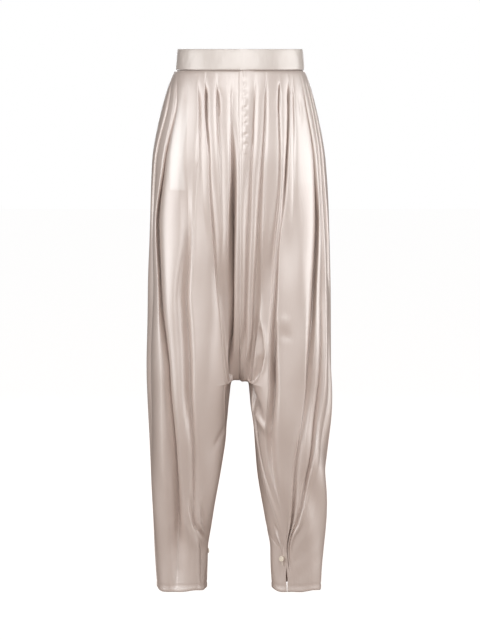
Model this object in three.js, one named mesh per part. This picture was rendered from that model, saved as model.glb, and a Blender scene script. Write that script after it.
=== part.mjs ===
import * as THREE from "three";

// Harem pants of silk satin, worn: a waistband, a wide pleated seat that hangs to a low crotch,
// and two legs that narrow to cuffs closed by a button and a thread loop.
// Millimetres. +Z is up, -Y is the front, +X is the wearer's left.
// The origin is the middle of the waist opening, at half the height of the waistband.

// ---- driving sizes ----
const WALL = 2; // cloth of a panel
const GAP = 0.3; // between two pieces at a seam
const BAND_HALF_HEIGHT = 20;
const BAND_WALL = 2.4;
const BAND_LAP = 30; // how far the under end of the waistband runs past the centre front
const BAND_TOP = { halfWidth: 123.5, front: 90, back: 90 };
const BAND_FOOT = { halfWidth: 127, front: 92.5, back: 92.5 };
const CROTCH = -642; // height of the lowest point of the seat
const SQUARENESS = 2.25; // 2 is an oval, more is squarer
// How the one oval round the body parts into two round the legs: at the sides from slowTop down,
// at the centre later and more suddenly, and within reach of the centre seam (share of one half).
const PARTING = { slowTop: -150, fastTop: -200, sharpness: 2.6, reach: 0.16, pouch: 45 };
// How fine the meshes are.
const COLUMN_GAP = 3.2; // widest mean gap between columns of a panel, percent of one half
const BAND_COLUMNS = 64;
const BUTTON_SIDES = 24;
const CORD = { sides: 8, steps: 24 };
const LAP = { wall: 1.5, foot: -212, lift: 0.4 }; // the flat fold beside the closing
const SLIT = { top: -1020, open: { right: 1, left: 4 }, ease: 40 }; // each cuff's gap at the hem
// aside: how far the button sits from the inseam, percent of the way round the cuff
const BUTTON = { radius: 5.6, back: 4.2, front: 6.6, bevel: 0.7, shank: 1.5, level: -999, aside: 2.2 };
const LOOP = { radius: 3.1, cord: 0.8, foot: -16, spread: 1.5, lift: 3 };
const CLEAR = 1.8; // between the cloth and what is sewn on it

// ---- sections, a column per level from the waist seam down to the hem ----
const LEVELS = [-20, -102, -202, -322, -482, -632, -782, -922, -988, -1068];
const SECTION = {
  front: [93, 106, 114, 112, 102, 92, 78, 60, 51, 45],
  back: [93, 116, 132, 126, 110, 96, 82, 64, 54, 47],
  right: {
    side: -1,
    outer: [128.2, 156.4, 174.7, 179.7, 184.6, 187.4, 182.2, 176, 173.1, 169.4],
    inner: [0, 0, 0, 0, 4, 13, 33, 55, 66, 67.5], // of the closed leg, from the middle
    twist: [0, 0, 0, 0, 0, 0, -4, -12, -16, -18], // degrees the inseam has turned to the front
  },
  left: {
    side: 1,
    outer: [127, 152.6, 170.3, 177.7, 182, 183.4, 178.5, 173.9, 171.1, 167.4],
    inner: [0, 0, 0, 0, 4, 13, 31, 52, 63.5, 64.5],
    twist: [0, 0, 0, 0, 0, 0, 14, 52, 64, 69],
  },
};
// Distance of the inseam from the middle, under the crotch.
const INSEAM = {
  level: [-642, -647, -656, -690, -740, -789, -838, -888, -938, -988, -1068],
  right: [0, 12, 17, 21, 27, 34, 40, 49, 58, 66, 67.5],
  left: [0, 12, 16, 19.5, 26, 32, 38, 46.5, 55, 63.5, 64.5],
};

// ---- pleats, a row each from the centre front outwards ----
// valley and edge: percent of the way round one half, from centre front to centre back, per level
// depth: how far the valley lies behind the edge, in mm, per level
const PLEATS = {
  right: [
    {
      valley: [2, 2.5, 2, 2.5, 3.5, 9, 1.6, 1, 0.4, 1],
      edge: [4.5, 3.5, 3.5, 3.5, 7, 10, 2.4, 1.8, 0.8, 1.8],
      depth: [1.5, 7, 12, 17, 17, 11, 0, 0, 0, 0],
    },
    {
      valley: [9.5, 8, 5.5, 5, 9.5, 11, 3.6, 2.6, 1.2, 2.8],
      edge: [11.5, 9.5, 8, 7, 12, 11.5, 4.5, 3.6, 1.6, 3.8],
      depth: [1.5, 7, 7, 5, 3, 1, 0, 0, 0, 0],
    },
    {
      valley: [15.5, 12.5, 9.5, 9, 13.5, 12.5, 5.5, 5, 2, 5],
      edge: [17, 13.5, 11, 10.5, 15, 13.5, 7, 6, 2.5, 6],
      depth: [1.5, 7, 7, 6, 5, 6, 0, 0, 0, 0],
    },
    {
      valley: [20.5, 15.5, 13, 14, 20, 19, 18, 17, 4, 9],
      edge: [22.5, 18.5, 17, 19, 23.5, 23, 21, 19.5, 5.5, 12],
      depth: [1.5, 8, 8, 4, 3, 2, 3, 5, 2, 0],
    },
    {
      valley: [26.5, 21.5, 19, 21.5, 26, 26, 24.5, 23.5, 8, 16],
      edge: [31, 26, 25.5, 29, 30, 29, 27.5, 27, 11, 20],
      depth: [1.5, 7, 8, 9, 12, 12, 10, 8, 3, 0],
    },
    {
      valley: [37, 29.5, 31.5, 35, 34, 33, 31.5, 30.5, 30.5, 31],
      edge: [41, 33, 35.5, 37.5, 37.5, 36.5, 37, 37.5, 36, 37],
      depth: [1.5, 7, 12, 15, 14, 14, 13, 11, 6, 1],
    },
    {
      valley: [44.5, 37.5, 39.5, 42, 43.5, 43.5, 43.5, 43.5, 43.5, 43.5],
      edge: [47, 41, 43, 45, 46.5, 46.5, 46.5, 46.5, 46.5, 46.5],
      depth: [1.5, 5, 6, 6, 5, 5, 5, 4, 2, 0],
    },
  ],
  left: [
    {
      valley: [6, 5, 3, 2.5, 2, 1.6, 1, 0.6, 0.3, 0.6],
      edge: [8, 6, 5, 4.5, 4, 3.5, 2, 1.2, 0.6, 1.2],
      depth: [1.5, 6, 6, 7, 7, 3, 0, 0, 0, 0],
    },
    {
      valley: [11.5, 9.5, 7, 6, 6, 7, 3.2, 1.8, 0.9, 1.8],
      edge: [12.5, 11, 9, 10, 11.5, 13, 5, 2.6, 1.2, 2.6],
      depth: [1.5, 7, 8, 9, 10, 6, 2, 0, 0, 0],
    },
    {
      valley: [18.5, 14, 12.5, 13.5, 15, 16, 7, 3.4, 1.5, 3.4],
      edge: [20.5, 16.5, 14.5, 15, 17, 17.5, 8.5, 4, 1.8, 4],
      depth: [1.5, 12, 8, 3, 1, 0, 0, 0, 0, 0],
    },
    {
      valley: [23.5, 19.5, 16.5, 17, 20, 21, 11.5, 5, 2.2, 5.5],
      edge: [26.5, 21, 18.5, 19, 22.5, 25, 17, 6, 2.6, 6.5],
      depth: [1.5, 13, 15, 15, 15, 16, 9, 3, 2, 0],
    },
    {
      valley: [28.5, 23, 20, 21.5, 26, 28, 20, 7, 3, 8],
      edge: [30.5, 25.5, 23, 25, 29.5, 30, 21.5, 8, 3.5, 9.5],
      depth: [1.5, 6, 6, 5, 3, 2, 1, 1, 1, 0],
    },
    {
      valley: [35.5, 31, 30.5, 32, 33, 32, 23, 9, 4.3, 11],
      edge: [37.5, 33.5, 33, 35, 35, 35, 26, 10, 5.1, 13],
      depth: [1.5, 6, 8, 11, 13, 11, 10, 6, 2.5, 0],
    },
    {
      valley: [40.5, 36, 37, 38.5, 37.5, 37, 28.5, 11, 6.2, 15],
      edge: [42.5, 38.5, 39.5, 41, 40.5, 39.5, 30.5, 12.5, 7.5, 17.5],
      depth: [1.5, 5, 6, 7, 9, 10, 10, 7, 3, 0],
    },
    {
      valley: [45, 41.5, 43, 44.5, 44, 42, 33.5, 14.5, 9, 20.5],
      edge: [47, 44, 46, 47, 47, 45, 38, 20, 15, 28],
      depth: [1.5, 4, 5, 6, 8, 9, 10, 8, 4, 0],
    },
  ],
};
const BACK_EASE = 0.9; // the back pleats are the other half's, turned round and a little shallower

// Rows of the mesh, from the waist seam to the hem.
const ROWS = [
  -20.3, -70, -125, -168, -212, -270, -345, -430, -510, -575, -622, -642, -650, -668, -710, -780,
  -850, -915, -960, -1010, -1068,
];

// ---- curves ----
const FIRST_TANGENT = 1.4; // a curve leaves its first level a little faster than straight

// A smooth value at height h through the values at the levels, without overshoot.
function curve(h, levels, values) {
  const last = levels.length - 1;
  if (h >= levels[0]) return values[0];
  if (h <= levels[last]) return values[last];
  const slope = (i) => (values[i + 1] - values[i]) / (levels[i + 1] - levels[i]);
  const tangent = (i) => {
    if (i === 0) return FIRST_TANGENT * slope(0);
    if (i === last) return slope(last - 1);
    const a = slope(i - 1);
    const b = slope(i);
    return a * b <= 0 ? 0 : (2 * a * b) / (a + b);
  };
  let i = 0;
  while (levels[i + 1] > h) i += 1;
  const width = levels[i + 1] - levels[i];
  const s = (h - levels[i]) / width;
  return (
    (1 + 2 * s) * (1 - s) ** 2 * values[i] +
    s * (1 - s) ** 2 * width * tangent(i) +
    s * s * (3 - 2 * s) * values[i + 1] -
    s * s * (1 - s) * width * tangent(i + 1)
  );
}

const smooth = (x) => THREE.MathUtils.smoothstep(x, 0, 1);
const power = (x) => Math.sign(x) * Math.abs(x) ** (2 / SQUARENESS);

// ---- plain form of one half: u runs from centre front (0) round the side to centre back (1) ----
function form(half, u, h) {
  const { side, outer, inner: legInner, twist } = SECTION[half];
  const out = curve(h, LEVELS, outer);
  const front = curve(h, LEVELS, SECTION.front);
  const back = curve(h, LEVELS, SECTION.back);
  // Half an oval round the body.
  const a = Math.PI * u;
  const bodyX = out * power(Math.sin(a));
  const bodyY = -power(Math.cos(a)) * (u < 0.5 ? front : back);
  // A closed oval round the leg, turned with the twist of the leg.
  const centre = 1 - smooth(Math.min(u, 1 - u) / PARTING.reach);
  const seam = h < CROTCH ? curve(h, INSEAM.level, INSEAM[half]) : 0;
  const inner = THREE.MathUtils.lerp(curve(h, LEVELS, legInner), seam, centre);
  const b = 2 * a + THREE.MathUtils.degToRad(curve(h, LEVELS, twist));
  const legX = (out + inner) / 2 - (power(Math.cos(b)) * (out - inner)) / 2;
  const legY = -power(Math.sin(b)) * (Math.sin(b) > 0 ? front : back);
  // The centre seam stays forward and then sweeps under, so the seat hangs as a pouch.
  const above = h - CROTCH;
  const z = h - centre * above * Math.exp(-Math.abs(above) / PARTING.pouch);
  const share = (top, height) => THREE.MathUtils.clamp((top - height) / (top - CROTCH), 0, 1);
  const slow = smooth(share(PARTING.slowTop, h));
  const fast = 1 - Math.sqrt(1 - share(PARTING.fastTop, z) ** PARTING.sharpness);
  const t = h <= CROTCH ? 1 : slow + (fast - slow) * centre;
  return new THREE.Vector3(
    side * THREE.MathUtils.lerp(bodyX, legX, t),
    THREE.MathUtils.lerp(bodyY, legY, t),
    z,
  );
}

// The direction out of a surface that is given by its points at (u, h).
function outward(surface, half, u, h, du = 0.004, dh = 6) {
  const wraps = h < CROTCH - dh;
  const before = u - du < 0 ? (wraps ? u - du + 1 : 0) : u - du;
  const after = u + du > 1 ? (wraps ? u + du - 1 : 1) : u + du;
  const round = surface(half, after, h).sub(surface(half, before, h));
  const up = surface(half, u, Math.min(h + dh, ROWS[0])).sub(surface(half, u, h - dh));
  return round.cross(up).multiplyScalar(SECTION[half].side).normalize();
}

// ---- the pleat lines of one half, in order from centre front to centre back ----
function lines(half) {
  const other = half === "left" ? "right" : "left";
  const front = PLEATS[half].flatMap(({ valley, edge, depth }) => [
    { at: valley, depth },
    { at: edge, depth: depth.map(() => 0) },
  ]);
  const back = PLEATS[other].flatMap(({ valley, edge, depth }) => [
    { at: valley.map((v) => 100 - v), depth: depth.map((d) => d * BACK_EASE) },
    { at: edge.map((e) => 100 - e), depth: depth.map(() => 0) },
  ]);
  const none = LEVELS.map(() => 0);
  return [
    { at: none, depth: none },
    ...front,
    ...back.reverse(),
    { at: none.map(() => 100), depth: none },
  ];
}
const LINES = { right: lines("right"), left: lines("left") };
const SEAM_AFTER = { right: 2 * PLEATS.right.length + 1, left: 2 * PLEATS.left.length + 1 };

const place = (line, h) => curve(h, LEVELS, line.at) / 100;
const sink = (line, h) => curve(h, LEVELS, line.depth);

// How far the cloth lies behind the plain form: round at an edge, sharper in a valley.
const FOLD_SHARPNESS = 1.1;
function depthAt(half, u, h) {
  const set = LINES[half];
  let i = 0;
  while (i < set.length - 2 && place(set[i + 1], h) < u) i += 1;
  const a = place(set[i], h);
  const b = place(set[i + 1], h);
  const s = THREE.MathUtils.clamp((u - a) / Math.max(b - a, 1e-6), 0, 1);
  const da = sink(set[i], h);
  const db = sink(set[i + 1], h);
  const rise = (x) => Math.sin((Math.PI / 2) * x) ** FOLD_SHARPNESS;
  return da > db ? da - (da - db) * rise(s) : db - (db - da) * rise(1 - s);
}

// A point on the outside of the cloth.
function cloth(half, u, h) {
  const point = form(half, u, h);
  return point.addScaledVector(outward(form, half, u, h), -depthAt(half, u, h));
}

// ---- solids ----
// A closed wall between two grids of points with the same rows and columns.
function wall(outside, inside, flip) {
  const rows = outside.length;
  const columns = outside[0].length;
  const positions = [...outside.flat(), ...inside.flat()].flatMap((p) => [p.x, p.y, p.z]);
  const index = [];
  const half = rows * columns;
  const quad = (a, b, c, d) => {
    if (flip) index.push(a, c, b, a, d, c);
    else index.push(a, b, c, a, c, d);
  };
  const at = (r, c) => r * columns + c;
  for (let r = 0; r < rows - 1; r += 1) {
    for (let c = 0; c < columns - 1; c += 1) {
      quad(at(r, c), at(r + 1, c), at(r + 1, c + 1), at(r, c + 1));
      quad(half + at(r, c), half + at(r, c + 1), half + at(r + 1, c + 1), half + at(r + 1, c));
    }
    const last = columns - 1;
    quad(at(r, 0), half + at(r, 0), half + at(r + 1, 0), at(r + 1, 0));
    quad(at(r, last), at(r + 1, last), half + at(r + 1, last), half + at(r, last));
  }
  for (let c = 0; c < columns - 1; c += 1) {
    const foot = rows - 1;
    quad(at(0, c), at(0, c + 1), half + at(0, c + 1), half + at(0, c));
    quad(at(foot, c), half + at(foot, c), half + at(foot, c + 1), at(foot, c + 1));
  }
  return new THREE.BufferGeometry()
    .setAttribute("position", new THREE.Float32BufferAttribute(positions, 3))
    .setIndex(index);
}

// The columns of one panel at height h: its pleat lines, the side seam, and more where a gap is wide.
function columns(half, face, h) {
  const side = { at: LEVELS.map(() => 50) };
  const front = face === "front";
  const set = front ? LINES[half].slice(0, SEAM_AFTER[half]) : LINES[half].slice(SEAM_AFTER[half]);
  const full = front ? [...set, side] : [side, ...set];
  const mean = ({ at }) => at.reduce((sum, u) => sum + u, 0) / at.length;
  const result = [place(full[0], h)];
  for (let i = 1; i < full.length; i += 1) {
    const parts = 1 + Math.floor((mean(full[i]) - mean(full[i - 1])) / COLUMN_GAP);
    const from = place(full[i - 1], h);
    const to = place(full[i], h);
    for (let k = 1; k < parts; k += 1) result.push(from + ((to - from) * k) / parts);
    result.push(to);
  }
  return result;
}

// Half the gap at the inseam: it opens below the top of the slit.
function inseamGap(half, h) {
  return (GAP + (SLIT.open[half] - GAP) * smooth((SLIT.top - h) / SLIT.ease)) / 2;
}

// A point on the side seam of a panel, and the direction out of the wall there.
function sidePoint(half, face, h) {
  const point = cloth(half, 0.5, h);
  point.y += (face === "front" ? -1 : 1) * (GAP / 2);
  return { point, normal: outward(cloth, half, 0.5, h) };
}

// A point on the centre seam, and under the crotch on the inseam.
function centrePoint(half, face, h) {
  const { side } = SECTION[half];
  const step = face === "front" ? 1 : -1;
  const u = face === "front" ? 0 : 1;
  const point = cloth(half, u, h);
  if (h > CROTCH) {
    const up = cloth(half, u, Math.min(h + 6, ROWS[0])).sub(cloth(half, u, Math.max(h - 6, CROTCH)));
    point.x = (side * GAP) / 2;
    return { point, normal: new THREE.Vector3(0, -step * up.z, step * up.y).normalize() };
  }
  if (h === CROTCH) {
    point.set((side * GAP) / 2, (-step * GAP) / 2, point.z);
    return { point, normal: new THREE.Vector3(-side, 0, -1).normalize() };
  }
  const along = form(half, 0.01, h).sub(form(half, 0.99, h)).normalize();
  point.addScaledVector(along, step * inseamGap(half, h));
  const down = form(half, 0, h + 6).sub(form(half, 0, h - 6));
  return { point, normal: along.cross(down).multiplyScalar(side).normalize() };
}

const clothPoint = (half, u, h) => ({ point: cloth(half, u, h), normal: outward(cloth, half, u, h) });

function panel(half, face) {
  const rows = ROWS.map((h) => {
    const inner = columns(half, face, h).slice(1, -1);
    const row = [
      centrePoint(half, face, h),
      ...(face === "front" ? inner : inner.reverse()).map((u) => clothPoint(half, u, h)),
      sidePoint(half, face, h),
    ];
    return face === "front" ? row : row.reverse();
  });
  const layer = (rise) =>
    rows.map((row) => row.map(({ point, normal }) => point.clone().addScaledVector(normal, rise)));
  return wall(layer(0), layer(-WALL), half === "right");
}

// The flat fold beside the closing: made from the points of the left front, moved out.
function lap() {
  const rows = ROWS.filter((h) => h >= LAP.foot);
  const layer = (rise) =>
    rows.map((h) =>
      [centrePoint("left", "front", h), clothPoint("left", place(LINES.left[1], h), h)].map(
        ({ point, normal }) => point.addScaledVector(normal, rise),
      ),
    );
  return wall(layer(LAP.lift + LAP.wall), layer(LAP.lift), false);
}

// The waistband: a strip that starts at the centre front, goes round by the wearer's left,
// and runs on under its own start. It steps inwards over the turn before that, in radians.
const UNDER_TURN = 0.2;
function waistband() {
  const underLap = Math.asin((BAND_LAP / BAND_FOOT.halfWidth) ** (SQUARENESS / 2));
  const ring = (size, height, inset) =>
    Array.from({ length: BAND_COLUMNS + 1 }, (_, i) => {
      const a = (i / BAND_COLUMNS) * (2 * Math.PI + underLap);
      const under = smooth((a - 2 * Math.PI) / UNDER_TURN + 1.1) * (BAND_WALL + GAP);
      const depth = Math.cos(a) > 0 ? size.front : size.back;
      return new THREE.Vector3(
        power(Math.sin(a)) * (size.halfWidth - inset - under),
        -power(Math.cos(a)) * (depth - inset - under),
        height,
      );
    });
  const grid = (inset) => [
    ring(BAND_TOP, BAND_HALF_HEIGHT, inset),
    ring(BAND_FOOT, -BAND_HALF_HEIGHT, inset),
  ];
  return wall(grid(0), grid(BAND_WALL), false);
}

// Moves what is sewn on a cuff from the middle of its own sheet, facing +Z, to its place.
function onCuff(geometry, half) {
  const point = form(half, 1 - BUTTON.aside / 100, BUTTON.level);
  const normal = outward(form, half, 1 - BUTTON.aside / 100, BUTTON.level);
  const across = new THREE.Vector3(0, 0, 1).cross(normal).normalize();
  const axes = new THREE.Matrix4().makeBasis(across, normal.clone().cross(across), normal);
  return geometry.applyMatrix4(axes.setPosition(point));
}

// A disc on a shank, turned about its axis.
function button(half) {
  const { radius, back, front, bevel, shank } = BUTTON;
  const profile = [
    [0, CLEAR],
    [shank, CLEAR],
    [shank, back],
    [radius - bevel, back],
    [radius, back + bevel],
    [radius, front - bevel],
    [radius - bevel, front],
    [0, front],
  ].map(([x, y]) => new THREE.Vector2(x, y));
  return onCuff(new THREE.LatheGeometry(profile, BUTTON_SIDES).rotateX(Math.PI / 2), half);
}

// A round cord along points, closed by flat ends.
function cord(points, radius) {
  const section = new THREE.Shape().absarc(0, 0, radius, 0, 2 * Math.PI);
  return new THREE.ExtrudeGeometry(section, {
    curveSegments: CORD.sides / 2,
    steps: CORD.steps,
    extrudePath: new THREE.CatmullRomCurve3(points),
  });
}

// The thread loop: it goes round the shank of the button and is sewn down below it.
function loop(half) {
  const turn = (degrees) => {
    const a = THREE.MathUtils.degToRad(degrees);
    return new THREE.Vector3(Math.sin(a) * LOOP.radius, Math.cos(a) * LOOP.radius, LOOP.lift);
  };
  const path = [
    new THREE.Vector3(-LOOP.spread, LOOP.foot, LOOP.lift),
    ...[-130, -90, -45, 0, 45, 90, 130].map(turn),
    new THREE.Vector3(LOOP.spread, LOOP.foot, LOOP.lift),
  ];
  return onCuff(cord(path, LOOP.cord), half);
}

// ---- object ----
const satin = () => new THREE.MeshStandardMaterial({ color: 0xcfb9ab, roughness: 0.45 });
const pearl = () => new THREE.MeshStandardMaterial({ color: 0xe9dcc6, roughness: 0.3 });
const thread = () => new THREE.MeshStandardMaterial({ color: 0xd3b9a2, roughness: 0.7 });
const object = new THREE.Group();

function add(name, geometry, material) {
  const mesh = new THREE.Mesh(geometry, material);
  mesh.name = name;
  object.add(mesh);
}

add("waistband", waistband(), satin());
add("fly_lap", lap(), satin());
for (const half of ["right", "left"]) {
  for (const face of ["front", "back"]) add(`${face}_${half}`, panel(half, face), satin());
  add(`button_${half}`, button(half), pearl());
  add(`loop_${half}`, loop(half), thread());
}

export default object;
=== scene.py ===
"""Harem pants of silk satin, worn: waistband, pleated seat, low crotch, legs that narrow to buttoned cuffs.

Lengths in the tables and in the cloth's own functions are millimetres and become metres when a mesh
is made. +Z is up, -Y is the front and +X is the wearer's left, as in the frame.
"""

import math

import bpy
import numpy as np
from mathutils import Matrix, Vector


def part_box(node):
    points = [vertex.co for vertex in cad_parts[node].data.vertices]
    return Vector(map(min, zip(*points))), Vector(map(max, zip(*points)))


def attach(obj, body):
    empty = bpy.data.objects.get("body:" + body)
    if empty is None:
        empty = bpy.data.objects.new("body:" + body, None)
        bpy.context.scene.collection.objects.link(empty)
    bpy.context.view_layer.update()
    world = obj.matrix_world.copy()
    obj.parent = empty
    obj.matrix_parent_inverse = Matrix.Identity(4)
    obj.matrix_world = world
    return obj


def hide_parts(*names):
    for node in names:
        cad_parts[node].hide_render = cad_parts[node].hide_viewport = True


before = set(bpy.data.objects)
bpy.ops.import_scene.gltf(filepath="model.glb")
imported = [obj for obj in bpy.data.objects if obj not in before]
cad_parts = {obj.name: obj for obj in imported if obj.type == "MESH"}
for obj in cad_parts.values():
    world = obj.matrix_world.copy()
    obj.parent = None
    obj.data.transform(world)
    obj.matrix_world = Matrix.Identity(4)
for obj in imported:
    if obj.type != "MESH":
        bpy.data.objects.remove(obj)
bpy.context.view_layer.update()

MM = 0.001  # metres in a millimetre


# ---- camera ----
CAMERA_PLACE = (0, -4.2, 0.02)  # metres: straight in front and just over the waist
CAMERA_DOWN = 7.324  # degrees that it looks down by
CAMERA_LENS = 118.6  # mm
CAMERA_SENSOR = 36  # mm high


def make_camera():
    data = bpy.data.cameras.new("camera")
    data.sensor_fit = "VERTICAL"
    data.sensor_height = CAMERA_SENSOR
    data.lens = CAMERA_LENS
    camera = bpy.data.objects.new("camera", data)
    camera.location = CAMERA_PLACE
    camera.rotation_euler = (math.radians(90 - CAMERA_DOWN), 0, 0)
    bpy.context.scene.collection.objects.link(camera)
    bpy.context.scene.camera = camera


make_camera()

# ---- sizes that follow the frame ----
BAND_LOW, BAND_HIGH = (np.array(corner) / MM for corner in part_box("waistband"))
WAIST_SEAM = BAND_LOW[2]
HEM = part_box("front_left")[0][2] / MM

# ---- sizes of the cloth ----
CROTCH = -642  # height of the lowest point of the seat
SQUARENESS = 2.25  # of the sections: 2 is an oval, more is squarer
FIRST_TANGENT = 1.4  # a curve leaves the waist seam faster: the form swells right under the band

# How the one body parts into two legs. At the sides it starts slowly at slow_top. At the centre,
# within reach of it (a share of the way round), it starts at fast_top, and most of it happens near
# the crotch (sharpness). There the cloth hangs down to the crotch as a pouch, mostly within so many
# mm of it.
PARTING = {"slow_top": -150, "fast_top": -200, "sharpness": 2.6, "reach": 0.16, "pouch": 45}

# The sections, a column per level from the waist seam down to the hem: how far out the front, the
# back and the side lie, how far out the inside of the leg lies, and by how many degrees the leg's
# seams turn round it.
LEVELS = np.array([-20, -102, -202, -322, -482, -632, -782, -922, -988, -1068])
FRONT = [93, 106, 114, 112, 102, 92, 78, 60, 51, 45]
BACK = [93, 116, 132, 126, 110, 96, 82, 64, 54, 47]
SECTION = {
    "right": {
        "side": -1,
        "outer": [128.2, 156.4, 174.7, 179.7, 184.6, 187.4, 182.2, 176, 173.1, 169.4],
        "inner": [0, 0, 0, 0, 4, 13, 33, 55, 66, 67.5],
        "twist": [0, 0, 0, 0, 0, 0, -4, -12, -16, -18],
    },
    "left": {
        "side": 1,
        "outer": [127, 152.6, 170.3, 177.7, 182, 183.4, 178.5, 173.9, 171.1, 167.4],
        "inner": [0, 0, 0, 0, 4, 13, 31, 52, 63.5, 64.5],
        "twist": [0, 0, 0, 0, 0, 0, 14, 52, 64, 69],
    },
}
# How far out the inside of each leg lies along its inseam, which needs more levels.
INSEAM = {
    "level": np.array([-642, -647, -656, -690, -740, -789, -838, -888, -938, -988, -1068]),
    "right": [0, 12, 17, 21, 27, 34, 40, 49, 58, 66, 67.5],
    "left": [0, 12, 16, 19.5, 26, 32, 38, 46.5, 55, 63.5, 64.5],
}

# The back pleats are a little shallower and end above the cuffs: their share of the depth, per level.
BACK_EASE = np.array([0.9, 0.9, 0.9, 0.9, 0.9, 0.9, 0.7, 0.3, 0.1, 0.1])

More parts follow.
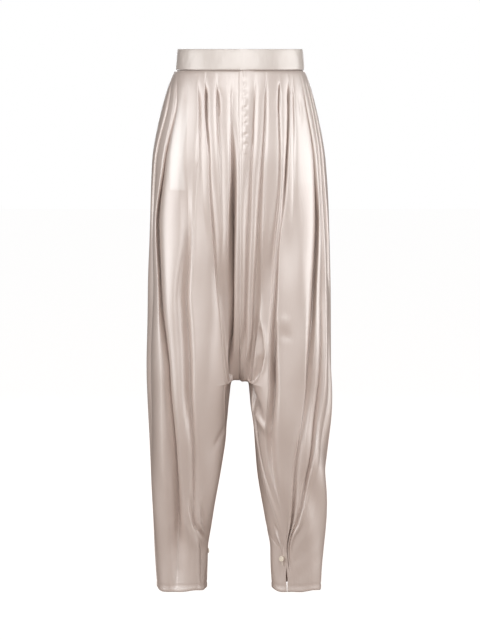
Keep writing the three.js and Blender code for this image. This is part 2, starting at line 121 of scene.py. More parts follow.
# The pleats, one each from the centre front outwards, per level: valley and edge in percent of the
# way round one half, how far the valley lies behind the plain form (depth), how far the edge does
# (sunk), how much of the valley is a narrow slit (slit, 0 to 1), how far the edge reaches back over
# its valley (over, a share of the space between), and how far the valley runs straight back into
# the trousers instead of square to the cloth (sweep, 0 to 1). A pleat without sunk or sweep has
# none, and one without over follows tuck().
PLEATS = {
    "right": [
        {
            "valley": [2, 2.5, 2, 2.5, 3.2, 4.8, 1.6, 1, 0.4, 1],
            "edge": [4.5, 3.7, 3.3, 3.8, 6, 6.6, 2.4, 1.8, 0.8, 1.8],
            "depth": [1.5, 3, 18, 46, 48, 30, 0, 0, 0, 0],
            "sunk": [0, 0, 0, 0, 9, 6, 0, 0, 0, 0],
            "slit": [0.2, 0.2, 0.5, 0.8, 0.8, 0.5, 0, 0, 0, 0],
        },
        {
            "valley": [9, 8, 5.5, 5.3, 9, 8.4, 3.6, 2.6, 1.2, 2.8],
            "edge": [11.5, 9, 8, 6.8, 10.5, 9.2, 4.5, 3.6, 1.6, 3.8],
            "depth": [1.5, 7, 5, 2, 4, 4, 0, 0, 0, 0],
            "sunk": [0, 0, 0, 0, 3, 2, 0, 0, 0, 0],
            "slit": [0.2, 0.1, 0, 0, 0.3, 0.3, 0, 0, 0, 0],
        },
        {
            "valley": [15.5, 12.9, 9.8, 10, 11.2, 10, 5.5, 5, 2, 5],
            "edge": [17, 13.9, 10.8, 11, 12.4, 11, 7, 6, 2.5, 6],
            "depth": [1.5, 12, 4, 6, 4, 4, 0, 0, 0, 0],
            "sunk": [0, 0, 0, 0, 1, 3, 0, 0, 0, 0],
            "slit": [0.5, 0.9, 0.6, 0.3, 0.5, 0.9, 0, 0, 0, 0],
        },
        {
            "valley": [20, 15.2, 12.8, 14, 19, 19, 18, 17.5, 4, 9],
            "edge": [22, 17.6, 15.6, 18.5, 23, 23, 20.5, 20, 5.5, 12],
            "depth": [1.5, 4.5, 3.5, 1.5, 1, 0, 0, 4, 2, 0],
            "slit": [0.2, 0, 0, 0, 0, 0, 0, 0.2, 0.2, 0],
        },
        {
            "valley": [26.5, 21.5, 19, 21, 25.3, 24.8, 23, 22, 14, 16],
            "edge": [31, 26, 24, 25, 30.3, 28.8, 27, 26.5, 20, 20],
            "depth": [1.5, 1.5, 0.7, 6, 20, 21, 11, 7, 5, 2],
            "slit": [0.3, 0, 0, 0.3, 0.8, 0.9, 0.5, 0.3, 0.2, 0],
        },
        {
            "valley": [37, 29.5, 31.8, 36.8, 35.3, 32.5, 30.8, 30.4, 31, 32],
            "edge": [41, 32.8, 35.2, 38.6, 38, 36.3, 36.6, 37, 38, 38],
            "depth": [1.5, 5, 12, 32, 28, 24, 28, 26, 17, 8],
            "slit": [0.4, 0.9, 1, 1, 0.9, 0.8, 0.4, 0.1, 0, 0],
            "over": [0.8, 0.8, 0.6, 0.4, 0.3, 0.2, 0.1, 0.1, 0.1, 0.1],
            "sweep": [0, 0, 0.6, 0.9, 0.8, 0.3, 0, 0, 0, 0],
        },
        {
            "valley": [44.5, 37.2, 41, 43.5, 44.2, 45.5, 46.5, 46.5, 46.5, 46.5],
            "edge": [47, 39.5, 43.5, 47, 49.4, 49.4, 49.4, 49.4, 49.4, 49.4],
            "depth": [1.5, 4, 5, 9, 9, 7, 1, 0, 0, 0],
            "slit": [0.4, 0.8, 0.8, 0.5, 0.3, 0.4, 0.5, 0.5, 0, 0],
        },
    ],
    "left": [
        {
            "valley": [6, 4.8, 3.4, 2.5, 1.8, 1.6, 1, 0.6, 0.1, 0.3],
            "edge": [8, 6, 4.8, 4.2, 3.6, 3.5, 2, 1.2, 0.2, 0.5],
            "depth": [1.5, 5, 7, 8, 10, 0, 0, 0, 0, 0],
            "slit": [0.5, 0.3, 0.2, 0.1, 0.2, 0, 0, 0, 0, 0],
        },
        {
            "valley": [11.5, 9.4, 7.3, 6.4, 6.6, 5, 3.2, 1.8, 0.3, 0.7],
            "edge": [12.5, 10.8, 9.2, 9, 12, 10, 5, 2.6, 0.4, 0.9],
            "depth": [1.5, 7, 8, 9, 12, 9, 2, 0, 0, 0],
            "slit": [0.5, 0.5, 0.3, 0.2, 0.2, 0, 0, 0, 0, 0],
        },
        {
            "valley": [18.6, 15.4, 14.2, 14.3, 16.4, 16.4, 7, 3.4, 0.5, 1.1],
            "edge": [20.9, 16.8, 15.4, 15.5, 17.4, 17.4, 8.5, 4, 0.6, 1.3],
            "depth": [1.5, 5, 6, 8, 4, 0, 0, 0, 0, 0],
            "slit": [0.5, 0.6, 0.4, 0.1, 0.1, 0, 0, 0, 0, 0],
        },
        {
            "valley": [24.5, 20.6, 17.2, 16.6, 18.6, 18.4, 10.2, 4.4, 0.7, 1.6],
            "edge": [26.5, 21.6, 18.6, 17.9, 20.8, 22.8, 16.5, 5.6, 0.8, 1.8],
            "depth": [1.5, 13, 14, 3, 10, 26, 9, 0, 0, 0],
            "slit": [0.5, 0.9, 1, 0.6, 1, 0.9, 0.2, 0, 0, 0],
            "over": [0.8, 0.8, 0.8, 0.5, 0.3, 0.1, 0.1, 0.1, 0.1, 0.1],
        },
        {
            "valley": [28, 22.9, 20, 21.5, 26, 28, 20, 7, 0.9, 2.1],
            "edge": [30.5, 25.2, 22.4, 25, 29.5, 30, 21.5, 8, 1, 2.3],
            "depth": [1.5, 4, 2.5, 1, 0, 0, 1, 1, 1, 0],
            "slit": [0.5, 0.7, 0.6, 0.2, 0, 0, 0, 0, 0, 0],
        },
        {
            "valley": [35.5, 32.8, 33, 34, 33.2, 31.5, 22.6, 8.5, 1.2, 2.6],
            "edge": [37.5, 34.2, 34.5, 35.9, 35.4, 34.5, 25.6, 10, 1.6, 3],
            "depth": [1.5, 4, 8, 30, 24, 15, 8, 13, 14, 0],
            "slit": [0.4, 0.7, 0.9, 1, 0.7, 0.2, 0.4, 0.7, 0.7, 0],
            "over": [0.8, 0.8, 0.6, 0.4, 0.3, 0.1, 0.1, 0.1, 0.1, 0.1],
            "sweep": [0, 0, 0.2, 0.8, 0.8, 0.2, 0, 0, 0, 0],
        },
        {
            "valley": [40, 37.6, 36.6, 37.6, 39.3, 38, 29.3, 10.6, 2.4, 3.6],
            "edge": [42.5, 38.8, 37.8, 38.8, 41.3, 40, 30.8, 12.2, 3, 4.4],
            "depth": [1.5, 3, 2.5, 3, 15, 32, 18, 6, 5, 0],
            "slit": [0.4, 0.8, 0.8, 0.4, 0.5, 0.9, 0.8, 0.2, 0.3, 0],
        },
        {
            "valley": [45, 42, 41, 42.5, 46.5, 45.5, 34.6, 13.5, 4.2, 6],
            "edge": [47, 43.5, 43, 45, 48.5, 48.5, 40, 19, 7, 9],
            "depth": [1.5, 3, 5, 14, 2, 7, 2.5, 2, 2, 0],
            "slit": [0.4, 0.8, 0.8, 0.8, 0.2, 0.2, 0.3, 0.2, 0.2, 0],
        },
    ],
}


# ---- curves ----
def curve(h, levels, values):
    """Smooth values at the heights h through the values at the levels, without overshoot."""
    values = np.asarray(values, float)
    slopes = np.diff(values) / np.diff(levels)
    product = slopes[:-1] * slopes[1:]
    total = slopes[:-1] + slopes[1:]
    between = np.where(product > 0, 2 * product / np.where(total == 0, 1, total), 0)
    tangents = np.concatenate(([FIRST_TANGENT * slopes[0]], between, [slopes[-1]]))
    h = np.clip(h, levels[-1], levels[0])
    i = np.clip(np.searchsorted(-levels, -h, side="right") - 1, 0, len(levels) - 2)
    width = levels[i + 1] - levels[i]
    s = (h - levels[i]) / width
    return (
        (1 + 2 * s) * (1 - s) ** 2 * values[i]
        + s * (1 - s) ** 2 * width * tangents[i]
        + s * s * (3 - 2 * s) * values[i + 1]
        - s * s * (1 - s) * width * tangents[i + 1]
    )


def smooth(x):
    x = np.clip(x, 0, 1)
    return x * x * (3 - 2 * x)


def power(x):
    """Sine or cosine of an oval turned to that of the squarer section."""
    return np.sign(x) * np.abs(x) ** (2 / SQUARENESS)


def mix(a, b, t):
    return a + (b - a) * t


def unit(v):
    return v / np.maximum(np.linalg.norm(v, axis=-1, keepdims=True), 1e-9)


# ---- plain form of one half: u runs from centre front (0) round the side to centre back (1) ----
def form(half, u, h):
    section = SECTION[half]
    out = curve(h, LEVELS, section["outer"])
    front = curve(h, LEVELS, FRONT)
    back = curve(h, LEVELS, BACK)
    a = np.pi * u
    body_x = out * power(np.sin(a))
    body_y = -power(np.cos(a)) * np.where(u < 0.5, front, back)
    centre = 1 - smooth(np.minimum(u, 1 - u) / PARTING["reach"])
    seam = np.where(h < CROTCH, curve(h, INSEAM["level"], INSEAM[half]), 0)
    inner = mix(curve(h, LEVELS, section["inner"]), seam, centre)
    b = 2 * a + np.radians(curve(h, LEVELS, section["twist"]))
    leg_x = (out + inner) / 2 - power(np.cos(b)) * (out - inner) / 2
    leg_y = -power(np.sin(b)) * np.where(np.sin(b) > 0, front, back)
    above = h - CROTCH
    z = h - centre * above * np.exp(-np.abs(above) / PARTING["pouch"])

    def share(top, height):
        return np.clip((top - height) / (top - CROTCH), 0, 1)

    slow = smooth(share(PARTING["slow_top"], h))
    fast = 1 - np.sqrt(1 - share(PARTING["fast_top"], z) ** PARTING["sharpness"])
    t = np.where(h <= CROTCH, 1, slow + (fast - slow) * centre)
    return np.stack((section["side"] * mix(body_x, leg_x, t), mix(body_y, leg_y, t), z), axis=-1)


def directions(half, u, h, du=0.004, dh=6):
    """Unit vectors round the form, towards the back, and out of it."""
    wraps = h < CROTCH - dh
    before = np.where(u - du < 0, np.where(wraps, u - du + 1, 0), u - du)
    after = np.where(u + du > 1, np.where(wraps, u + du - 1, 1), u + du)
    around = form(half, after, h) - form(half, before, h)
    up = form(half, u, np.minimum(h + dh, WAIST_SEAM)) - form(half, u, h - dh)
    return unit(around), unit(np.cross(around, up) * SECTION[half]["side"])


# ---- the pleat lines of one half, in order from centre front to centre back ----
HALF_ROUND = 470  # mm once round one half, for turning percent into a length
TUCK = {"pressed": 0.85, "open": 0.1, "from": -130, "over": 260}
MOST_REACH = 1.5  # an edge reaches back by no more than so many depths of its pleat


def tuck(h):
    """How far an edge reaches back over its valley, as a share of the space between: folded
    sharp where the pleats are pressed and open below."""
    return mix(TUCK["pressed"], TUCK["open"], smooth((TUCK["from"] - h) / TUCK["over"]))


def pleat_pair(number, pleat, turned):
    """The valley and the edge of one pleat; on the back they are turned round and shallower."""
    valley, edge, depth = (np.array(pleat[key], float) for key in ("valley", "edge", "depth"))
    sunk = np.array(pleat.get("sunk", 0 * depth), float)
    slit = np.array(pleat["slit"], float)
    over = np.array(pleat.get("over", tuck(LEVELS)), float)
    sweep = np.array(pleat.get("sweep", 0 * depth), float)
    reach = -over * np.minimum(np.abs(edge - valley) * HALF_ROUND / 100, MOST_REACH * depth)
    if turned:
        valley, edge = 100 - valley, 100 - edge
        depth, sunk, reach = depth * BACK_EASE, sunk * BACK_EASE, -reach
    none = np.zeros(len(LEVELS))
    return [
        {"pleat": number, "at": valley, "depth": depth, "reach": none, "slit": slit, "sweep": sweep},
        {"pleat": number, "at": edge, "depth": sunk, "reach": reach, "slit": none, "sweep": sweep},
    ]


def pleat_lines(half):
    """All lines of the front and of the back panel. The back has the pleats of the other half."""
    other = "right" if half == "left" else "left"
    none = np.zeros(len(LEVELS))
    centre_front, side, centre_back = (
        {"pleat": None, "at": none + at, "depth": none, "reach": none, "slit": none, "sweep": none}
        for at in (0, 50, 100)
    )
    front, back = [centre_front], [centre_back]
    for number, pleat in enumerate(PLEATS[half]):
        front += pleat_pair(number, pleat, turned=False)
    for number, pleat in enumerate(PLEATS[other]):
        back += pleat_pair(number, pleat, turned=True)
    return {"front": [*front, side], "back": [side, *back[::-1]]}


LINES = {half: pleat_lines(half) for half in SECTION}


# ---- the shape across a pleat ----
FOLD_SHARPNESS = 1.1  # of the round edge of a pleat
FLAT_AT_BAND = {"share": 0.2, "from": -34, "over": 46}  # share of its depth that a pleat has there
FOLDS_END = {"right": -1100, "left": -1040}  # the level that the pleats of each leg run out towards
FOLDS_FADE = 80
PRESSED_FACE = {"until": -200, "over": 150}  # down to here the faces lie flat, and get round below
PRESSED_EDGE = {"until": -170, "over": 200}  # and down to here the edges are sharp
SLIT_REACH = 3.2  # how far a slit reaches onto the face of its pleat, in mm
HIPS = {"level": -320, "around": 100, "slit_reach": 5}  # at the hips the slits gape


def rise(x):
    return np.sin(np.pi / 2 * x) ** FOLD_SHARPNESS


def pressed(half, h):
    """The pleats lie flat under the waistband, open soon below it and end over the hem."""
    below_band = smooth((FLAT_AT_BAND["from"] - h) / FLAT_AT_BAND["over"])
    over_hem = smooth((h - FOLDS_END[half]) / FOLDS_FADE)
    return mix(FLAT_AT_BAND["share"], 1, below_band) * over_hem


def line_depth(line, half, h):
    """Depth of a line behind the plain form at the heights h."""
    return curve(h, LEVELS, line["depth"]) * pressed(half, h)


def face_profile(from_valley, width, slit, h):
    """Share of the valley's depth along the face of a pleat: a narrow slit at the valley, and a
    face that leans towards it, flat where it is pressed and round further down."""
    left = np.clip(1 - from_valley / width, 0, 1)
    flat, rounded = left**1.2, smooth(left) * left**0.5
    leaning = mix(flat, rounded, smooth((PRESSED_FACE["until"] - h) / PRESSED_FACE["over"]))
    at_hips = np.exp(-(((h - HIPS["level"]) / HIPS["around"]) ** 2))
    reach = mix(SLIT_REACH, HIPS["slit_reach"], at_hips)
    return slit * np.exp(-from_valley / reach) * left + (1 - slit) * leaning


def fold_profile(from_valley, slit, h):
    """Share of the way up from the valley to the edge of its pleat: soft, or over a slit a sharp
    pressed edge that gets round further down."""
    sharp, rounded = from_valley**0.85, rise(from_valley)
    edge = mix(sharp, rounded, smooth((PRESSED_EDGE["until"] - h) / PRESSED_EDGE["over"]))
    return mix(smooth(from_valley), edge, np.clip(2 * slit, 0, 1))


# ---- the cloth of one panel as a grid of points ----
ROW_STEP = 4.2
CROTCH_ROWS = np.arange(-30, 31, 3)  # closer rows about the crotch
FOLD_STEP = 1.2  # between columns in the fold of a pleat, in mm
FACE_STEP = 2.2  # between columns on the face of a pleat
FEWEST_COLUMNS = 5  # in a fold or on a face
WIDE_LEVELS = slice(0, 8)  # the levels over the cuffs, where a fold or a face has its full width
FACE_CLOSER = 1.35  # the columns of a face stand closer towards its valley
FACE_FOLLOWS = 2.5  # only the part of a face that is next to a reaching edge goes with it


def panel_rows():
    even = np.arange(WAIST_SEAM, HEM, -ROW_STEP)
    rows = np.unique(np.concatenate((even, CROTCH + CROTCH_ROWS, [HEM])))
    return rows[::-1]


def panel_grid(half, face, rows):
    """Where each column runs: u, depth behind the plain form, reach along it and sweep, each with
    a row per height and a column per column of points."""
    lines = LINES[half][face]
    u, depth, reach, sweep = [], [], [], []
    for a, b in zip(lines[:-1], lines[1:]):
        in_fold = a["pleat"] is not None and a["pleat"] == b["pleat"]
        width = np.mean(b["at"][WIDE_LEVELS] - a["at"][WIDE_LEVELS]) * HALF_ROUND / 100
        count = max(FEWEST_COLUMNS, int(round(width / (FOLD_STEP if in_fold else FACE_STEP))))
        s = np.arange(count) / count
        ua, ub = (curve(rows, LEVELS, end["at"])[:, None] / 100 for end in (a, b))
        da, db = (line_depth(end, half, rows)[:, None] for end in (a, b))
        ra, rb = (curve(rows, LEVELS, end["reach"])[:, None] for end in (a, b))
        slit = curve(rows, LEVELS, a["slit"] + b["slit"])[:, None]
        if in_fold:
            up, down = (fold_profile(way, slit, rows[:, None]) for way in (s, 1 - s))
            depth.append(np.where(da > db, da - (da - db) * up, db - (db - da) * down))
        else:
            valley_first = a["depth"].sum() > b["depth"].sum()
            s = s**FACE_CLOSER if valley_first else 1 - (1 - s) ** FACE_CLOSER
            width_here = (ub - ua) * HALF_ROUND
            from_valley = (s if valley_first else 1 - s) * width_here
            deep, shallow = (da, db) if valley_first else (db, da)
            share = face_profile(from_valley, width_here, slit, rows[:, None])
            depth.append(shallow + (deep - shallow) * share)
        u.append(ua + (ub - ua) * s)
        if in_fold:
            near_a, near_b = rise(1 - s), rise(s)
        else:
            near_a, near_b = (1 - s) ** FACE_FOLLOWS, s**FACE_FOLLOWS
        reach.append(ra * near_a + rb * near_b)
        wa, wb = (curve(rows, LEVELS, end["sweep"])[:, None] for end in (a, b))
        sweep.append(wa + (wb - wa) * smooth(s))
    last = lines[-1]
    u.append(curve(rows, LEVELS, last["at"])[:, None] / 100)
    depth.append(0 * u[-1])
    reach.append(0 * u[-1])
    sweep.append(0 * u[-1])
    return tuple(np.concatenate(part, axis=1) for part in (u, depth, reach, sweep))


def panel_points(half, face):
    """The outside of a panel, with its lengths across and down the cloth, and where the pocket
    bag lies behind it."""
    rows = panel_rows()
    u, depth, reach, sweep = panel_grid(half, face, rows)
    h = np.broadcast_to(rows[:, None], u.shape)
    around, out = directions(half, u, h)
    around, out = flat_at_centre(around, out, u, h)
    towards_back = 1 if face == "front" else -1
    inward = unit(mix(-out, np.array((0, towards_back, 0)), sweep[..., None]))
    cloth = form(half, u, h) + inward * depth[..., None] + around * reach[..., None]
    steps = np.linalg.norm(np.diff(cloth, axis=1, prepend=cloth[:, :1]), axis=-1)
    across = np.cumsum(steps, axis=1)
    back_across = across[:, -1:] - across
    from_centre, from_side = (across, back_across) if face == "front" else (back_across, across)
    from_seam = np.minimum(across, back_across)
    over_bag = over_pocket(half, u, h)
    lift = ripple(half, u, h) * smooth(from_seam / RIPPLE_FROM_SEAM)
    lift += creases(half, u, h, crossing=False) * smooth(from_seam / CREASE_FROM_SEAM)
    lift += creases(half, u, h, crossing=True) * smooth((h - CROTCH) / CROSSING_ENDS_OVER)
    lift -= SIDE_DIP * np.exp(-((from_side / SEAM_WIDTH) ** 2))
    lift -= CENTRE_DIP * np.exp(-((from_centre / SEAM_WIDTH) ** 2))
    lift -= waist_dip(h)
    lift += hem_lift(h) + POCKET_LIFT * over_bag
    cloth = cloth + out * lift[..., None]
    cloth += around * (slit_gap(half, h, from_centre) * towards_back)[..., None]
    cloth[..., 2] += hem_wave(half, u) * smooth((HEM + HEM_WAVE_HIGH - h) / HEM_WAVE_HIGH)
    return cloth, across, h, over_bag


def flat_at_centre(around, out, u, h):
    """Above the crotch both halves meet in the middle plane, so nothing moves them out of it there."""
    to_centre = np.minimum(u, 1 - u) * HALF_ROUND
    keep = np.where(h >= CROTCH, smooth(to_centre / FLAT_WITHIN), 1)[..., None]
    flat = np.concatenate((keep, np.ones_like(keep), np.ones_like(keep)), axis=-1)
    return around * flat, unit(out * flat)


# ---- small relief of the cloth, in mm out of it ----
SIDE_DIP = 1.0  # the side seam lies in a fine groove, the centre seam and inseam in a finer one
CENTRE_DIP = 0.35
SEAM_WIDTH = 1.6
WAIST_DIP = 1.8  # the cloth is drawn in under the waistband
WAIST_DIP_HIGH = 2.2
FLAT_WITHIN = 12  # mm of the centre seam that stay in the middle plane
RIPPLE_FROM_SEAM = 14  # a seam holds the cloth flat: the relief grows to its full size from there
CREASE_FROM_SEAM = 5
CROSSING_ENDS_OVER = 14  # the folds that cross the centre seam end so far over the crotch
HEM_TURN = 10  # height of the turned hem
HEM_STITCH = {"depth": 0.7, "width": 1.3}
HEM_FOLD = {"lift": 0.5, "ease": 1.5}
HEM_WAVES = [(3, 1.6, 1), (7, 0.8, 2)]  # times round one half, mm, and times the leg's phase
HEM_PHASE = {"right": 0.6, "left": 2.1}
HEM_WAVE_HIGH = 60  # the waves fade out over this height

# The slit at each cuff: from its top down it opens by so many mm, over the height of ease, and over
# the same height above the hem it narrows to the share at_hem. It pulls the cloth beside it along,
# within reach of it.
SLIT = {"top": -1013, "open": {"right": 1, "left": 3.2}, "ease": 26, "at_hem": 0.3, "reach": 12}

# The unevenness of hanging cloth: so many waves, each with its length across and down the cloth in
# mm. The wider a wave is, the higher it is. They are small where the pleats are pressed, and a
# little larger on the legs.
RIPPLE = {"waves": 22, "across": (60, 170), "down": (180, 700), "size": 0.12, "at": 50, "growth": 1.3}
RIPPLE_SEED = {"right": 11, "left": 12}
RIPPLE_PRESSED = {"share": 0.06, "until": -120, "over": 280}
RIPPLE_ON_LEGS = {"share": 1.4, "from": -600, "over": 250}


def ripple(half, u, h):
    """Slow unevenness of hanging cloth: long waves down it, shorter ones across."""
    draw = np.random.default_rng(RIPPLE_SEED[half])
    x = u * HALF_ROUND
    total = np.zeros(u.shape)
    for _ in range(RIPPLE["waves"]):
        across = draw.uniform(*RIPPLE["across"])
        down = draw.uniform(*RIPPLE["down"]) * draw.choice((-1, 1))
        phase = draw.uniform(0, 2 * np.pi)
        size = RIPPLE["size"] * (across / RIPPLE["at"]) ** RIPPLE["growth"]
        total += size * np.sin(2 * np.pi * (x / across + h / down) + phase)
    below = smooth((RIPPLE_PRESSED["until"] - h) / RIPPLE_PRESSED["over"])
    on_legs = smooth((RIPPLE_ON_LEGS["from"] - h) / RIPPLE_ON_LEGS["over"])
    return total * mix(RIPPLE_PRESSED["share"], 1, below) * mix(1, RIPPLE_ON_LEGS["share"], on_legs)


def waist_dip(h):
    return WAIST_DIP * np.exp(-(WAIST_SEAM - h) / WAIST_DIP_HIGH)


def slit_gap(half, h, from_slit):
    """How far the cuff's slit pulls the cloth back on either side of it."""
    opened = SLIT["open"][half] / 2 * smooth((SLIT["top"] - h) / SLIT["ease"])
    narrowed = mix(1, SLIT["at_hem"], smooth((HEM + SLIT["ease"] - h) / SLIT["ease"]))
    return opened * np.exp(-from_slit / SLIT["reach"]) * narrowed


# The pocket bags behind the front panels: from front to back in percent of the way round, down to a
# foot that shows as an edge so many mm soft, and how much the silk's colour is painted paler over
# them. That paleness is painted light: it stands in for the shade of the inside, which shows through
# one layer more than through two.
POCKET = {
    "right": {"front": 20, "back": 28.6, "foot": -254, "edge": 4, "painted_pale": 0.4},
    "left": {"front": 19, "back": 30, "foot": -256, "edge": 24, "painted_pale": 0.1},
}
POCKET_SIDES = {"front": 1.6, "back": 1.2}  # how soft its upright edges show, in percent
POCKET_TOP = {"level": -70, "over": 70}  # it shows from here down, more and more
POCKET_LIFT = 0.35  # mm that the bag lifts the silk


def over_pocket(half, u, h):
    """1 over the pocket bag and 0 beside it."""
    bag = POCKET[half]
    behind_front = smooth((100 * u - bag["front"]) / POCKET_SIDES["front"])
    before_back = smooth((bag["back"] - 100 * u) / POCKET_SIDES["back"])
    over_foot = smooth((h - bag["foot"]) / bag["edge"])
    under_top = smooth((POCKET_TOP["level"] - h) / POCKET_TOP["over"])
    return behind_front * before_back * over_foot * under_top


def hem_lift(h):
    """The turned hem stands proud up to its line of stitches, which is drawn in."""
    stitch = np.exp(-(((h - HEM - HEM_TURN) / HEM_STITCH["width"]) ** 2))
    folded = smooth((HEM + HEM_TURN - h) / HEM_FOLD["ease"])
    return -HEM_STITCH["depth"] * stitch + HEM_FOLD["lift"] * folded


def hem_wave(half, u):
    """The hem isn't cut level: it dips between the folds."""
    phase = HEM_PHASE[half]
    return -sum(size * np.sin(2 * np.pi * times * u + turn * phase) for times, size, turn in HEM_WAVES)


# Single folds: u in percent and h in mm along the fold, how deep (a ridge where negative)
# and wide it is, how many times wider its wall towards the front is (lean), and how far the cloth
# stands up beside it, towards the back. Those of both halves cross the centre seam: their u counts
# from it, and is negative on the wearer's right.
CREASES = [
    # the pocket under the seat on the wearer's left, where the leg hangs over the hanging seat
    {"half": "left",
     "path": [(11.9, -518), (13, -536), (13.9, -554), (14.6, -580), (13.2, -606), (10, -630)],
     "depth": 11, "width": 4.2, "stand": 3, "lean": 3.2},
    {"half": "left", "path": [(14.2, -580), (12.8, -604), (11, -624), (9.5, -638)],
     "depth": 9, "width": 6},
    # the fourth pleat on the left gapes as a slit over the thigh
    {"half": "left", "path": [(20.2, -516), (20.3, -552), (19.4, -590), (18.6, -615), (18, -645)],
     "depth": 9, "width": 2.3},
    # the third and the fourth pleat on the left open as notches under the waistband
    {"half": "left", "path": [(17.6, -50), (16.9, -72), (15.7, -98)], "depth": 13, "width": 2.4},
    {"half": "left", "path": [(22.8, -58), (21.8, -80), (20.9, -104)], "depth": 8, "width": 2.2},
    # and the cloth dips behind the fifth
    {"half": "left", "path": [(29, -68), (28.2, -98), (26.6, -128)], "depth": 3.5, "width": 2.6},
    # the third and the second pleat on the right open as notches too
    {"half": "right", "path": [(14.2, -56), (13.2, -82), (12.4, -112)], "depth": 10, "width": 2.3},
    {"half": "right", "path": [(8.6, -58), (8.2, -80), (7.4, -106)], "depth": 6, "width": 2},
    # a fine pressed edge down the fourth pleat on the right
    {"half": "right",
     "path": [(16.2, -126), (15.2, -202), (16.8, -262), (18.4, -322), (20.2, -382), (22.4, -456)],
     "depth": 1.5, "width": 1.7, "stand": 0.9},
    # a low bulge in the wearer's left thigh, and a dent under it
    {"half": "left", "path": [(22.6, -498), (23, -512), (23.2, -526)], "depth": -1.5, "width": 6},
    {"half": "left", "path": [(23.4, -530), (23.8, -540), (24, -550)], "depth": 1.2, "width": 5},
    # creases that run to the cuff's button on the right leg
    {"half": "right", "path": [(25, -870), (24.4, -900), (22, -930), (17, -950), (11, -968)],
     "depth": 5, "width": 4.5, "stand": 2},
    {"half": "right", "path": [(19.5, -886), (17.5, -912), (14.5, -936), (10.5, -954)],
     "depth": 3.5, "width": 4.5},
    # puckers over the button on the left, and creases that fan out from it
    {"half": "left", "path": [(96.4, -944), (97.2, -966), (98, -992)], "depth": -3, "width": 3.6},
    {"half": "left", "path": [(97.6, -930), (98.5, -960), (98.9, -990)], "depth": 3.5, "width": 3},
    {"half": "left", "path": [(4, -1010), (12, -982), (20, -952)], "depth": 1.3, "width": 7},
    {"half": "left", "path": [(6, -1040), (14, -1014), (22, -988)], "depth": 1, "width": 7},
    # soft hollows on the inside of the thighs, and a roll under the left one
    {"half": "right", "path": [(5, -738), (9, -752), (13, -772)], "depth": 3, "width": 8},
    {"half": "left", "path": [(3, -650), (6, -676), (10, -708)], "depth": 9, "width": 13},
    {"half": "left", "path": [(2, -706), (8, -718), (14, -744)], "depth": -4, "width": 11},
    # short creases of the gathered cloth right under the band
    {"half": "right", "path": [(15.5, -27), (11, -31), (6, -30)], "depth": 0.9, "width": 1.6},
    {"half": "right", "path": [(14, -37), (10, -39), (7.5, -36)], "depth": 0.7, "width": 1.5},
    {"half": "left", "path": [(3.5, -29), (6.5, -31)], "depth": 0.7, "width": 1.4},
    # rolls of the hanging seat, which sweep across the centre seam to the wearer's right
    {"half": "both",
     "path": [(2.2, -500), (1.6, -530), (0.6, -552), (-0.5, -580), (-1.6, -604), (-2.6, -622)],
     "depth": 4, "width": 5},
    {"half": "both", "path": [(0, -540), (0, -575), (0, -610), (0, -640)], "depth": -3, "width": 4.5},
    {"half": "both", "path": [(5.2, -496), (4.6, -540), (3.2, -575), (1.5, -605)],
     "depth": -3.5, "width": 6},
    {"half": "both", "path": [(8, -505), (7.8, -540), (7, -570), (6, -600)],
     "depth": 4.5, "width": 5},
]
CREASE_REACH = 4  # widths of a fold beyond which nothing of it is left
CREASE_STEPS = 24  # points along each stretch of its path
CREASE_END = {"within": 0.02, "round": 0.6}  # a fold runs out along a sine raised to this power
RIDGE_BESIDE = {"apart": 1.7, "width": 1.2}  # where the cloth stands up beside it, in its widths


def creases(half, u, h, crossing):
    """Depth of the single folds of one half, or of those that cross the centre seam."""
    total = np.zeros(u.shape)
    for crease in CREASES:
        if crease["half"] != ("both" if crossing else half):
            continue
        path = np.array(crease["path"], float)
        reach = CREASE_REACH * crease["width"]
        rows = (h[:, 0] < path[:, 1].max() + reach) & (h[:, 0] > path[:, 1].min() - reach)
        if rows.any():
            side = SECTION[half]["side"] if crossing else 1
            total[rows] += one_crease(crease, path, u[rows] * HALF_ROUND * side, h[rows])
    return total


def one_crease(crease, path, x, h):
    """Height of one fold over the plain cloth, from each point's distance to its path."""
    width = crease["width"]
    t = np.linspace(0, len(path) - 1, CREASE_STEPS * len(path))
    steps = np.arange(len(path))
    apart_x = x[..., None] - np.interp(t, steps, path[:, 0]) / 100 * HALF_ROUND
    apart_h = h[..., None] - np.interp(t, steps, path[:, 1])
    apart = np.hypot(apart_x, apart_h)
    nearest = apart.argmin(axis=-1)
    distance = np.take_along_axis(apart, nearest[..., None], axis=-1)[..., 0]
    side = np.sign(np.take_along_axis(apart_x, nearest[..., None], axis=-1)[..., 0])
    along = np.clip(nearest / (len(t) - 1), CREASE_END["within"], 1 - CREASE_END["within"])
    runs_out = np.sin(np.pi * along) ** CREASE_END["round"]
    wall = np.where(side < 0, width * crease.get("lean", 1), width)
    groove = -crease["depth"] * np.exp(-((distance / wall) ** 2))
    beside = distance * side - RIDGE_BESIDE["apart"] * width
    ridge = crease.get("stand", 0) * np.exp(-((beside / (RIDGE_BESIDE["width"] * width)) ** 2))
    return (groove + ridge) * runs_out


# ---- meshes ----
def make_piece(name, points, faces, material, node, uv=None):
    """Points are in mm. uv is one pair per point, in metres of cloth."""
    mesh = bpy.data.meshes.new(name)
    mesh.from_pydata((points * MM).tolist(), [], faces)
    mesh.polygons.foreach_set("use_smooth", [True] * len(mesh.polygons))
    if uv is not None:
        layer = mesh.uv_layers.new(name="cloth")
        corner = np.empty(len(mesh.loops), dtype=np.int32)
        mesh.loops.foreach_get("vertex_index", corner)
        layer.data.foreach_set("uv", np.asarray(uv, np.float32)[corner].ravel())
    mesh.materials.append(material)
    piece = bpy.data.objects.new(name, mesh)
    bpy.context.scene.collection.objects.link(piece)
    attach(piece, "root")
    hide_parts(node)
    return piece


